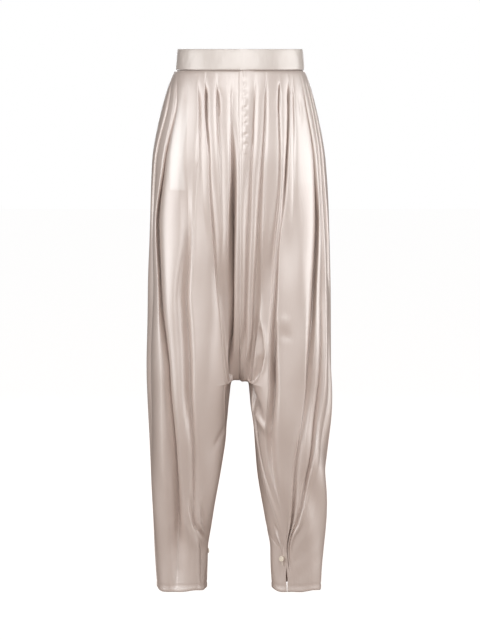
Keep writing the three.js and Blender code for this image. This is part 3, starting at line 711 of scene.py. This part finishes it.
def grid_faces(rows, columns, flip=False):
    at = np.arange(rows * columns).reshape(rows, columns)
    corners = (at[:-1, :-1], at[1:, :-1], at[1:, 1:], at[:-1, 1:])
    if flip:
        corners = corners[::-1]
    return np.stack([corner.ravel() for corner in corners], axis=1).tolist()


def tube_faces(rings, sides, flip=False):
    """Faces between closed rings of points, and one over each end."""
    at = np.arange(rings * sides).reshape(rings, sides)
    following = np.roll(at, -1, axis=1)
    corners = (at[:-1], at[1:], following[1:], following[:-1])
    ends = (at[0], at[-1][::-1])
    if flip:
        corners = (at[:-1], following[:-1], following[1:], at[1:])
        ends = (at[0][::-1], at[-1])
    between = np.stack([corner.ravel() for corner in corners], axis=1).tolist()
    return between + [end.tolist() for end in ends]


def thicken(piece, thickness):
    """Makes a shell of a sheet: the sheet is its outside."""
    solidify = piece.modifiers.new("thickness", "SOLIDIFY")
    solidify.thickness = thickness * MM
    solidify.offset = -1


CLOTH_THICKNESS = 0.8  # a doubled look at the open edges; the silk itself is 0.3 mm


def make_panel(half, face, material):
    points, across, h, over_bag = panel_points(half, face)
    uv = np.stack((across, h), axis=-1).reshape(-1, 2) * MM
    faces = grid_faces(*across.shape, flip=half == "right")
    node = f"{face}_{half}"
    piece = make_piece(f"{node}_satin", points.reshape(-1, 3), faces, material, node, uv)
    # Painted paleness over the pocket bag, for the silk's colour: painted light in place of the inside's
    # shade that shows through a single layer.
    painted_pale = piece.data.attributes.new("painted_pale", "FLOAT", "POINT")
    painted_pale.data.foreach_set("value", np.ravel(over_bag * POCKET[half]["painted_pale"]).astype(np.float32))
    thicken(piece, CLOTH_THICKNESS)
    return piece


# ---- waistband ----
BAND_HEIGHT = BAND_HIGH[2] - BAND_LOW[2]
BAND_WALL = 2.2
BAND_ROUND = 1.0  # radius of its folded edges
BAND_ROUND_STEPS = 4
BAND_CROWN = 0.35  # its face stands out by so much between them
BAND_FACE_STEPS = 6
BAND_TAPER = 3.4  # the top is smaller than the foot by so much on each side
BAND_LAP = 30  # how far the under end runs past the centre front
BAND_EDGE = 0.06  # the start of the band thins to this share of its wall, so that it lies flush
BAND_EDGE_WIDE = 16  # mm over which it does
BAND_COLUMNS = {"start": 11, "round": 240, "under": 30}

# Where the band starts and laps, in radians round it from the centre front. Its columns stand close
# up to close_to, and from close_from before one turn on. The under end goes in under the start: by
# the thin edge there over slips, and by under times the wall over goes_in.
CUT_END = (0, 0.0006)  # two columns almost in one place make the start a sharp edge
LAP_OVER = {
    "first": 0.01, "close_to": 0.12, "close_from": 0.04, "slips": 0.03, "under": 1.1, "goes_in": 0.12,
}

# The band's slow unevenness: waves once round it, mm, where each starts, and its slant in radians
# per mm up the band.
BAND_WAVES = [
    (5, 0.35, 0.8, 0),
    (11, 0.25, 2, 0),
    (23, 0.16, 0, 1 / 9),
    (37, 0.1, 1, -1 / 6),
    (61, 0.07, 0, 1 / 5),
]


def band_section():
    """Outline of the band's section: out from its wall's outside, and up from its foot."""
    edges = []
    for z, start in ((BAND_ROUND, -90), (BAND_HEIGHT - BAND_ROUND, 0)):
        turns = [math.radians(start + 90 * k / BAND_ROUND_STEPS) for k in range(BAND_ROUND_STEPS + 1)]
        edges.append([(BAND_ROUND * (math.cos(a) - 1), z + BAND_ROUND * math.sin(a)) for a in turns])
    foot, top = edges
    face = [(BAND_CROWN, BAND_HEIGHT * k / BAND_FACE_STEPS) for k in range(1, BAND_FACE_STEPS)]
    inside = [(-BAND_WALL - x, BAND_HEIGHT - z) for x, z in foot + top]
    return np.array(foot + face + top + inside)


def band_angles(half_width):
    """Angles of the band's columns from the centre front, once round and under its own start."""
    under_lap = math.asin((BAND_LAP / half_width) ** (SQUARENESS / 2))
    turn, close_to, close_from = 2 * np.pi, LAP_OVER["close_to"], LAP_OVER["close_from"]
    start = np.linspace(LAP_OVER["first"], close_to, BAND_COLUMNS["start"], endpoint=False)
    round_it = np.linspace(close_to, turn - close_from, BAND_COLUMNS["round"], endpoint=False)
    under = turn + np.linspace(-close_from, under_lap, BAND_COLUMNS["under"])
    return np.concatenate((CUT_END, start, round_it, under))[:, None]


def make_waistband(material):
    half_width, half_depth = BAND_HIGH[:2]
    section = band_section()
    a = band_angles(half_width)
    past_start = a - 2 * np.pi
    start = mix(BAND_EDGE, 1, smooth(a * half_width / BAND_EDGE_WIDE))
    under = BAND_EDGE * BAND_WALL * smooth(past_start / LAP_OVER["slips"] + 1)
    under = under + LAP_OVER["under"] * BAND_WALL * smooth(past_start / LAP_OVER["goes_in"])
    up = section[None, :, 1]
    narrower = BAND_TAPER * up / BAND_HEIGHT + under - section[None, :, 0] * start
    wave = sum(size * np.sin(times * a + up * slant + phase) for times, size, phase, slant in BAND_WAVES)
    wave = wave * np.sin(np.pi * up / BAND_HEIGHT)
    x = power(np.sin(a)) * (half_width - narrower + wave)
    y = -power(np.cos(a)) * (half_depth - narrower + wave)
    z = BAND_LOW[2] + up + 0 * a
    points = np.stack((x, y, z), axis=-1).reshape(-1, 3)
    around = np.broadcast_to(a * (half_width + half_depth) / 2, x.shape)
    uv = np.stack((around, z), axis=-1).reshape(-1, 2) * MM
    return make_piece("waistband_satin", points, tube_faces(*x.shape), material, "waistband", uv)


# ---- fly lap ----
LAP_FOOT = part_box("fly_lap")[0][2] / MM
LAP_THICKNESS = 0.5
LAP_EDGE = np.array([-2.6, -2.3, -1.7, -1.0, 0.0])  # columns of its folded edge, past the centre front
LAP_ROW_STEP = 1.6
LAP_COLUMNS = 34
LAP_CLOSER = 1.2  # its columns stand closer towards the centre front
LAP_LIFT = {"edge": -0.5, "face": 0.7, "over": 2.4}  # the edge curls under the face of the lap
LAP_ENDS_IN = {"depth": 2.2, "over": 60}  # it runs out into the panel over this height
LAP_STITCH = {"at": 3.6, "depth": 0.35, "width": 1.1}

# The stitching draws the silk in at some of its stitches: their levels, and how much each draws.
PUCKERS = [
    (-42, 0.7), (-58, 1), (-72, 0.8), (-94, 1.2), (-112, 0.8),
    (-124, 1), (-146, 1.2), (-164, 0.8), (-188, 0.7),
]
# A drawn stretch is so many mm high each way and slants up away from the stitching. It shows in a
# swelling that lies beside the stitching, is so wide each way, and stands out by its middle share
# of swell where nothing is drawn.
PUCKER = {"high": 4.2, "slant": 0.35, "beside": 3.2, "wide": 3.4, "swell": 1.2, "middle": 0.55}


def lap_relief(x, h, far):
    """How far the lap stands over the panel: its curled edge, its face, its stitching and puckers."""
    over_edge = smooth((x - LAP_EDGE[0]) / LAP_LIFT["over"])
    lift = mix(LAP_LIFT["edge"], LAP_LIFT["face"], over_edge) * (1 - smooth(x / far * 2 - 1))
    from_stitch = x - LAP_STITCH["at"]
    stitch = np.exp(-((from_stitch / LAP_STITCH["width"]) ** 2))
    drawn = sum(
        np.exp(-(((h - level - PUCKER["slant"] * from_stitch) / PUCKER["high"]) ** 2)) * size
        for level, size in PUCKERS
    )
    beside = np.exp(-(((from_stitch - PUCKER["beside"]) / PUCKER["wide"]) ** 2))
    return lift - LAP_STITCH["depth"] * stitch + PUCKER["swell"] * beside * (PUCKER["middle"] - drawn)


def make_lap(material):
    """The flat fold of cloth over the closing, from the centre front to the first pleat's valley."""
    rows = np.arange(WAIST_SEAM, LAP_FOOT, -LAP_ROW_STEP)
    valley = LINES["left"]["front"][1]
    far = curve(rows, LEVELS, valley["at"])[:, None] / 100 * HALF_ROUND
    share = np.linspace(0, 1, LAP_COLUMNS)[1:] ** LAP_CLOSER
    edge = np.broadcast_to(LAP_EDGE, (len(rows), len(LAP_EDGE)))
    x = np.concatenate((edge, far * share), axis=1)
    h = np.broadcast_to(rows[:, None], x.shape)
    u = np.clip(x, 0, None) / HALF_ROUND
    slit = curve(rows, LEVELS, valley["slit"])[:, None]
    leaning = face_profile(np.clip(far - x, 0, None), far, slit, rows[:, None])
    depth = line_depth(valley, "left", rows)[:, None] * leaning
    runs_out = mix(-LAP_ENDS_IN["depth"], 0, smooth((h - LAP_FOOT) / LAP_ENDS_IN["over"]))
    around, out = directions("left", u, h)
    lift = lap_relief(x, h, far) + runs_out - waist_dip(h) - depth
    points = form("left", u, h) + out * lift[..., None]
    points = points + around * np.clip(x, None, 0)[..., None]
    uv = np.stack((x, h), axis=-1).reshape(-1, 2) * MM
    faces = grid_faces(*u.shape)
    piece = make_piece("fly_lap_satin", points.reshape(-1, 3), faces, material, "fly_lap", uv)
    thicken(piece, LAP_THICKNESS)
    return piece


# ---- button and loop ----
BUTTON_AT = 0.978  # share of the way round the half: the cuff is buttoned just behind its slit
BUTTON_SIDES = 48


def on_cuff(half, points):
    """Moves points from a sheet of their own, facing +Z, to where the cuff is buttoned."""
    low, high = (np.array(corner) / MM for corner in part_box(f"button_{half}"))
    at = (low + high) / 2
    _, out = directions(half, np.array([BUTTON_AT]), np.array([at[2]]))
    out = out[0]
    across = unit(np.cross((0, 0, 1), out))
    up = np.cross(out, across)
    return at + points[:, :1] * across + points[:, 1:2] * up + points[:, 2:] * out


def lathe(profile, sides):
    """Turns a profile of radius and height once round."""
    a = np.linspace(0, 2 * np.pi, sides, endpoint=False)
    radius, height = (np.array(part)[:, None] for part in zip(*profile))
    rings = np.stack((np.cos(a) * radius, np.sin(a) * radius, height + 0 * a), axis=-1)
    return rings.reshape(-1, 3), tube_faces(len(profile), sides, flip=True)


# Half a section of the button, from the foot of its shank over the plate's back, its rim and its
# dished front to the middle: radius and height in mm, the cuff at -4.4.
BUTTON_PROFILE = [
    (1.4, -4.4), (1.3, -1.4), (4.6, -1.2), (5.3, -0.8), (5.6, -0.1), (5.5, 0.6), (5.0, 1.1), (4.4, 1.15),
    (4.0, 0.85), (3.4, 0.75), (2.4, 0.95), (1.2, 1.1), (0.3, 1.15),
]


def make_button(half, material):
    points, faces = lathe(BUTTON_PROFILE, BUTTON_SIDES)
    node = f"button_{half}"
    make_piece(f"{node}_pearl", on_cuff(half, points), faces, material, node)


# The thread loop: round the shank by turn degrees each way from the top, on the given share of its
# length, then down to a foot where both ends are sewn. On the way its ends draw together to so many
# mm from the middle, and it sinks to the cuff from its height under the button: how fast each
# happens says how much of the way is left over.
LOOP = {"radius": 3.1, "turn": 130, "share": 0.55, "foot": -16}
LOOP_ENDS = {"from_middle": 1.0, "fast": 1.6}
LOOP_SINKS = {"height": -2.4, "by": 1.2, "fast": 1.3}
LOOP_POINTS = 160
STRAND = {"radius": 0.42, "off_middle": 0.36, "twist": 3.2, "sides": 8}  # twist is the length of a turn


def sides_of(path):
    """Two unit vectors square to a path at each of its points."""
    along = unit(np.gradient(path, axis=0))
    side = unit(np.cross(along, (0, 0, 1)))
    return side, np.cross(side, along)


def tube(path, radius, sides):
    side, up = sides_of(path)
    a = np.linspace(0, 2 * np.pi, sides, endpoint=False)[None, :, None]
    rings = path[:, None] + radius * (np.cos(a) * side[:, None] + np.sin(a) * up[:, None])
    return rings.reshape(-1, 3), tube_faces(len(path), sides)


def loop_path():
    """Round the button's shank and down to where both ends are sewn."""
    radius, turn, share = LOOP["radius"], math.radians(LOOP["turn"]), LOOP["share"]
    t = np.linspace(-1, 1, LOOP_POINTS)
    a = t * turn / share
    end = (np.abs(t) - share) / (1 - share)
    together = smooth(end * LOOP_ENDS["fast"])
    x_end = np.sign(t) * mix(math.sin(turn) * radius, LOOP_ENDS["from_middle"], together)
    y_end = mix(math.cos(turn) * radius, LOOP["foot"], end)
    round_shank = np.abs(t) <= share
    x = np.where(round_shank, np.sin(a) * radius, x_end)
    y = np.where(round_shank, np.cos(a) * radius, y_end)
    z = LOOP_SINKS["height"] - LOOP_SINKS["by"] * smooth(end * LOOP_SINKS["fast"])
    return np.stack((x, y, z), axis=-1)


def make_loop(half, material):
    """Two strands twisted round each other."""
    path = loop_path()
    side, up = sides_of(path)
    length = np.cumsum(np.linalg.norm(np.diff(path, axis=0, prepend=path[:1]), axis=1))
    points, faces = [], []
    for strand in range(2):
        a = (2 * np.pi * length / STRAND["twist"] + np.pi * strand)[:, None]
        wound = path + STRAND["off_middle"] * (np.cos(a) * side + np.sin(a) * up)
        strand_points, strand_faces = tube(wound, STRAND["radius"], STRAND["sides"])
        shift = sum(len(part) for part in points)
        points.append(strand_points)
        faces += [[k + shift for k in face] for face in strand_faces]
    node = f"loop_{half}"
    make_piece(f"{node}_thread", on_cuff(half, np.concatenate(points)), faces, material, node)


# ---- materials ----
def linear(code):
    """sRGB hex to linear RGBA."""
    parts = [int(code[i : i + 2], 16) / 255 for i in (0, 2, 4)]
    return [c / 12.92 if c <= 0.04045 else ((c + 0.055) / 1.055) ** 2.4 for c in parts] + [1]


def add(tree, kind, inputs=None, **settings):
    """Adds a node. An input is a value, or a socket to link from."""
    node = tree.nodes.new(kind)
    for name, value in settings.items():
        setattr(node, name, value)
    for name, value in (inputs or {}).items():
        if isinstance(value, bpy.types.NodeSocket):
            tree.links.new(value, node.inputs[name])
        else:
            node.inputs[name].default_value = value
    return node


def new_material(name):
    material = bpy.data.materials.new(name)
    material.use_nodes = True
    tree = material.node_tree
    tree.nodes.clear()
    return material, tree


def per_metre(*sizes):
    """Scale of a pattern whose details are so many mm large: one value, or one per axis."""
    scales = [1 / (size * MM) for size in sizes]
    return scales[0] if len(scales) == 1 else (*scales, 1)


SILK_PAINTED_PALE = "F6F0EB"  # painted paleness: the colour that the silk is painted towards over the pocket bag, painted light for the inside's shade showing through less
MOTTLE = 111  # mm: soft clouds of deeper and paler colour, as large as a hand
CRUMPLE = 26.3  # mm: soft creases from handling, about a finger wide
STREAKS = (4.76, 200)  # mm across and down the cloth: bands of thicker and of thinner warp threads
# A silk thread is about 0.05 mm wide and too fine to show, so the threads are drawn 20 times as
# coarse, 1.11 mm across by 16.7 mm down the cloth.
THREADS = (1.11, 16.7)


def silk_satin(name, dark, light, sheen):
    """Silk woven as satin: long floats of smooth warp thread on the face. To the eye it is soft and
    matt in its own colour, with a broad bright shine on top where it faces the light, which the
    rough coat gives by the share in sheen. The coat stands for the floats, which shine also where
    one looks straight at them, so its IOR is well over silk's own 1.5. The warp shows as faint
    streaks down the cloth."""
    material, tree = new_material(name)
    place = add(tree, "ShaderNodeTexCoord")
    uv = place.outputs["UV"]
    mottle = add(
        tree,
        "ShaderNodeTexNoise",
        {"Vector": place.outputs["Object"], "Scale": per_metre(MOTTLE), "Detail": 3, "Roughness": 0.5},
    )
    tint = add(
        tree,
        "ShaderNodeMix",
        {"Factor": mottle.outputs["Fac"], "A": linear(dark), "B": linear(light)},
        data_type="RGBA",
    )
    # Painted paleness over the pocket bag: painted light that stands in for less of the inside's shade
    # showing through two layers.
    over_bag = add(tree, "ShaderNodeAttribute", attribute_name="painted_pale")
    paler = add(
        tree,
        "ShaderNodeMix",
        {"Factor": over_bag.outputs["Fac"], "A": tint.outputs["Result"], "B": linear(SILK_PAINTED_PALE)},
        data_type="RGBA",
    )
    thread_place = add(tree, "ShaderNodeMapping", {"Vector": uv, "Scale": per_metre(*THREADS)})
    threads = add(
        tree, "ShaderNodeTexNoise", {"Vector": thread_place.outputs["Vector"], "Scale": 1, "Detail": 2}
    )
    weave = add(
        tree, "ShaderNodeBump", {"Height": threads.outputs["Fac"], "Strength": 0.08, "Distance": 0.0004}
    )
    streak_place = add(tree, "ShaderNodeMapping", {"Vector": uv, "Scale": per_metre(*STREAKS)})
    streaks = add(
        tree, "ShaderNodeTexNoise", {"Vector": streak_place.outputs["Vector"], "Scale": 1, "Detail": 3}
    )
    uneven = add(
        tree,
        "ShaderNodeBump",
        {
            "Height": streaks.outputs["Fac"],
            "Strength": 0.3,
            "Distance": 0.001,
            "Normal": weave.outputs["Normal"],
        },
    )
    crumple = add(
        tree,
        "ShaderNodeTexNoise",
        {"Vector": place.outputs["Object"], "Scale": per_metre(CRUMPLE), "Detail": 4, "Roughness": 0.55},
    )
    soft = add(
        tree,
        "ShaderNodeBump",
        {
            "Height": crumple.outputs["Fac"],
            "Strength": 0.25,
            "Distance": 0.002,
            "Normal": uneven.outputs["Normal"],
        },
    )
    shader = add(
        tree,
        "ShaderNodeBsdfPrincipled",
        {
            "Base Color": paler.outputs["Result"],
            "Roughness": 0.42,
            "Metallic": 0.05,
            "IOR": 1.5,
            "Coat Weight": sheen,
            "Coat Roughness": 0.42,
            "Coat IOR": 2.4,
            "Normal": soft.outputs["Normal"],
        },
    )
    add(tree, "ShaderNodeOutputMaterial", {"Surface": shader.outputs["BSDF"]})
    return material


PEARL_CLOUDS = 4.545  # mm: the growth layers of the shell show as clouds about this large


def pearl():
    """Mother-of-pearl, turned and polished: warm white with faint clouds, and a clear small shine."""
    material, tree = new_material("pearl_shell_polished")
    place = add(tree, "ShaderNodeTexCoord")
    cloud = add(
        tree,
        "ShaderNodeTexNoise",
        {"Vector": place.outputs["Object"], "Scale": per_metre(PEARL_CLOUDS), "Detail": 3},
    )
    tint = add(
        tree,
        "ShaderNodeMix",
        {"Factor": cloud.outputs["Fac"], "A": linear("E2D3BC"), "B": linear("F3E9DA")},
        data_type="RGBA",
    )
    shader = add(
        tree,
        "ShaderNodeBsdfPrincipled",
        {"Base Color": tint.outputs["Result"], "Roughness": 0.22, "Coat Weight": 0.5},
    )
    add(tree, "ShaderNodeOutputMaterial", {"Surface": shader.outputs["BSDF"]})
    return material


# mm: the fibres of a silk thread are about 0.015 mm and too fine to show, so what is drawn is as
# coarse as the thread itself.
THREAD_FIBRES = 1.111


def silk_thread():
    """Silk sewing thread, spun and twisted: softly matt, a little paler than the cloth, uneven."""
    material, tree = new_material("silk_thread_twisted")
    place = add(tree, "ShaderNodeTexCoord")
    fibre = add(
        tree,
        "ShaderNodeTexNoise",
        {"Vector": place.outputs["Object"], "Scale": per_metre(THREAD_FIBRES), "Detail": 2},
    )
    tint = add(
        tree,
        "ShaderNodeMix",
        {"Factor": fibre.outputs["Fac"], "A": linear("DCCBBE"), "B": linear("F0E6DC")},
        data_type="RGBA",
    )
    bump = add(
        tree, "ShaderNodeBump", {"Height": fibre.outputs["Fac"], "Strength": 0.4, "Distance": 0.0002}
    )
    shader = add(
        tree,
        "ShaderNodeBsdfPrincipled",
        {"Base Color": tint.outputs["Result"], "Roughness": 0.6, "Normal": bump.outputs["Normal"]},
    )
    add(tree, "ShaderNodeOutputMaterial", {"Surface": shader.outputs["BSDF"]})
    return material


# ---- stage ----
FLOOR_GLOW = 1.0  # the floor shows plain white
FLOOR_GRAIN = 16.7  # mm: the grain that a roller leaves
FLOOR_HEIGHT = -1.35  # metres, well under the hem
FLOOR_SIZE = 14  # metres from its middle to its edge


def floor_paint():
    """Matt paint put on with a roller. It looks plain white, and the light that it throws back up
    onto the silk is weak and warm."""
    material, tree = new_material("matt_white_paint_rolled")
    place = add(tree, "ShaderNodeTexCoord")
    grain = add(
        tree, "ShaderNodeTexNoise", {"Vector": place.outputs["Object"], "Scale": per_metre(FLOOR_GRAIN)}
    )
    tint = add(
        tree,
        "ShaderNodeMix",
        {"Factor": grain.outputs["Fac"], "A": linear("FAFAFA"), "B": linear("FFFFFF")},
        data_type="RGBA",
    )
    paint = add(tree, "ShaderNodeBsdfDiffuse", {"Color": linear("7A6253")})
    glow = add(tree, "ShaderNodeEmission", {"Color": tint.outputs["Result"], "Strength": FLOOR_GLOW})
    path = add(tree, "ShaderNodeLightPath")
    seen = add(tree, "ShaderNodeMixShader", {"Fac": path.outputs["Is Camera Ray"]})
    both = add(tree, "ShaderNodeAddShader")
    tree.links.new(paint.outputs[0], both.inputs[0])
    tree.links.new(glow.outputs[0], both.inputs[1])
    tree.links.new(paint.outputs[0], seen.inputs[1])
    tree.links.new(both.outputs[0], seen.inputs[2])
    add(tree, "ShaderNodeOutputMaterial", {"Surface": seen.outputs[0]})
    return material


def make_floor():
    ways = ((-1, -1), (1, -1), (1, 1), (-1, 1))
    corners = [(x * FLOOR_SIZE, y * FLOOR_SIZE, FLOOR_HEIGHT) for x, y in ways]
    mesh = bpy.data.meshes.new("floor")
    mesh.from_pydata(corners, [], [(0, 1, 2, 3)])
    mesh.materials.append(floor_paint())
    floor = bpy.data.objects.new("floor", mesh)
    bpy.context.scene.collection.objects.link(floor)


DAYLIGHT = "FAFCFD"
LIGHTS_AIM = (0, 0, -0.45)  # metres: near the middle of the trousers
# Name, place and size in metres, and watts.
LIGHTS = [
    ("front_panel", (0, -4.6, 0.55), (4.0, 1.9), 121),
    ("left_strip", (-2.9, -1.35, -0.1), (2.1, 2.2), 54),
    ("right_strip", (3.1, -0.6, -0.1), (3.4, 2.2), 79),
    ("top_front", (0.1, -2.7, 2.0), (2.6, 1.4), 28),
    ("behind", (0, 3.4, 0.8), (2.6, 2.2), 60),
]


def make_light(name, place, size, watts):
    data = bpy.data.lights.new(name, "AREA")
    data.shape = "RECTANGLE"
    data.size, data.size_y = size
    data.energy = watts
    data.color = linear(DAYLIGHT)[:3]
    light = bpy.data.objects.new(name, data)
    light.location = place
    direction = np.array(LIGHTS_AIM) - np.array(place)
    yaw = math.atan2(direction[0], direction[1])
    pitch = math.atan2(direction[2], math.hypot(direction[0], direction[1]))
    light.rotation_euler = (math.pi / 2 + pitch, 0, -yaw)
    light.visible_camera = False
    bpy.context.scene.collection.objects.link(light)


WORLD_FILL = 0.06  # light from all round, for the depths of the folds


def make_world():
    """A white room: it shows plain white, and gives the trousers only a faint light."""
    world = bpy.data.worlds.new("studio")
    bpy.context.scene.world = world
    world.use_nodes = True
    tree = world.node_tree
    tree.nodes.clear()
    seen = add(tree, "ShaderNodeBackground", {"Color": linear("FFFFFF"), "Strength": 1.0})
    fill = add(tree, "ShaderNodeBackground", {"Color": linear("FFFFFF"), "Strength": WORLD_FILL})
    path = add(tree, "ShaderNodeLightPath")
    shader = add(tree, "ShaderNodeMixShader", {"Fac": path.outputs["Is Camera Ray"]})
    tree.links.new(fill.outputs[0], shader.inputs[1])
    tree.links.new(seen.outputs[0], shader.inputs[2])
    add(tree, "ShaderNodeOutputWorld", {"Surface": shader.outputs[0]})


# ---- assembly ----
# The waistband lies across the panels and the lap, faced and pressed flat, and its silk shines
# half as much.
satin = silk_satin("silk_satin_woven", dark="C3B0A5", light="D3C3BA", sheen=1.0)
# The band's colours are painted paler than the panels' silk: painted light that stands in for the shine it
# lacks, since it is the same silk.
satin_across_painted_paler = silk_satin("silk_satin_cut_across_painted_paler", dark="C0B2A9", light="DBD1C9", sheen=0.5)
shell = pearl()
twist = silk_thread()

band = make_waistband(satin_across_painted_paler)
lap = make_lap(satin)
for half in ("right", "left"):
    for face in ("front", "back"):
        piece = make_panel(half, face, satin)
    make_button(half, shell)
    make_loop(half, twist)

make_floor()
for name, place, size, watts in LIGHTS:
    make_light(name, place, size, watts)
make_world()
bpy.context.scene.view_settings.view_transform = "Standard"
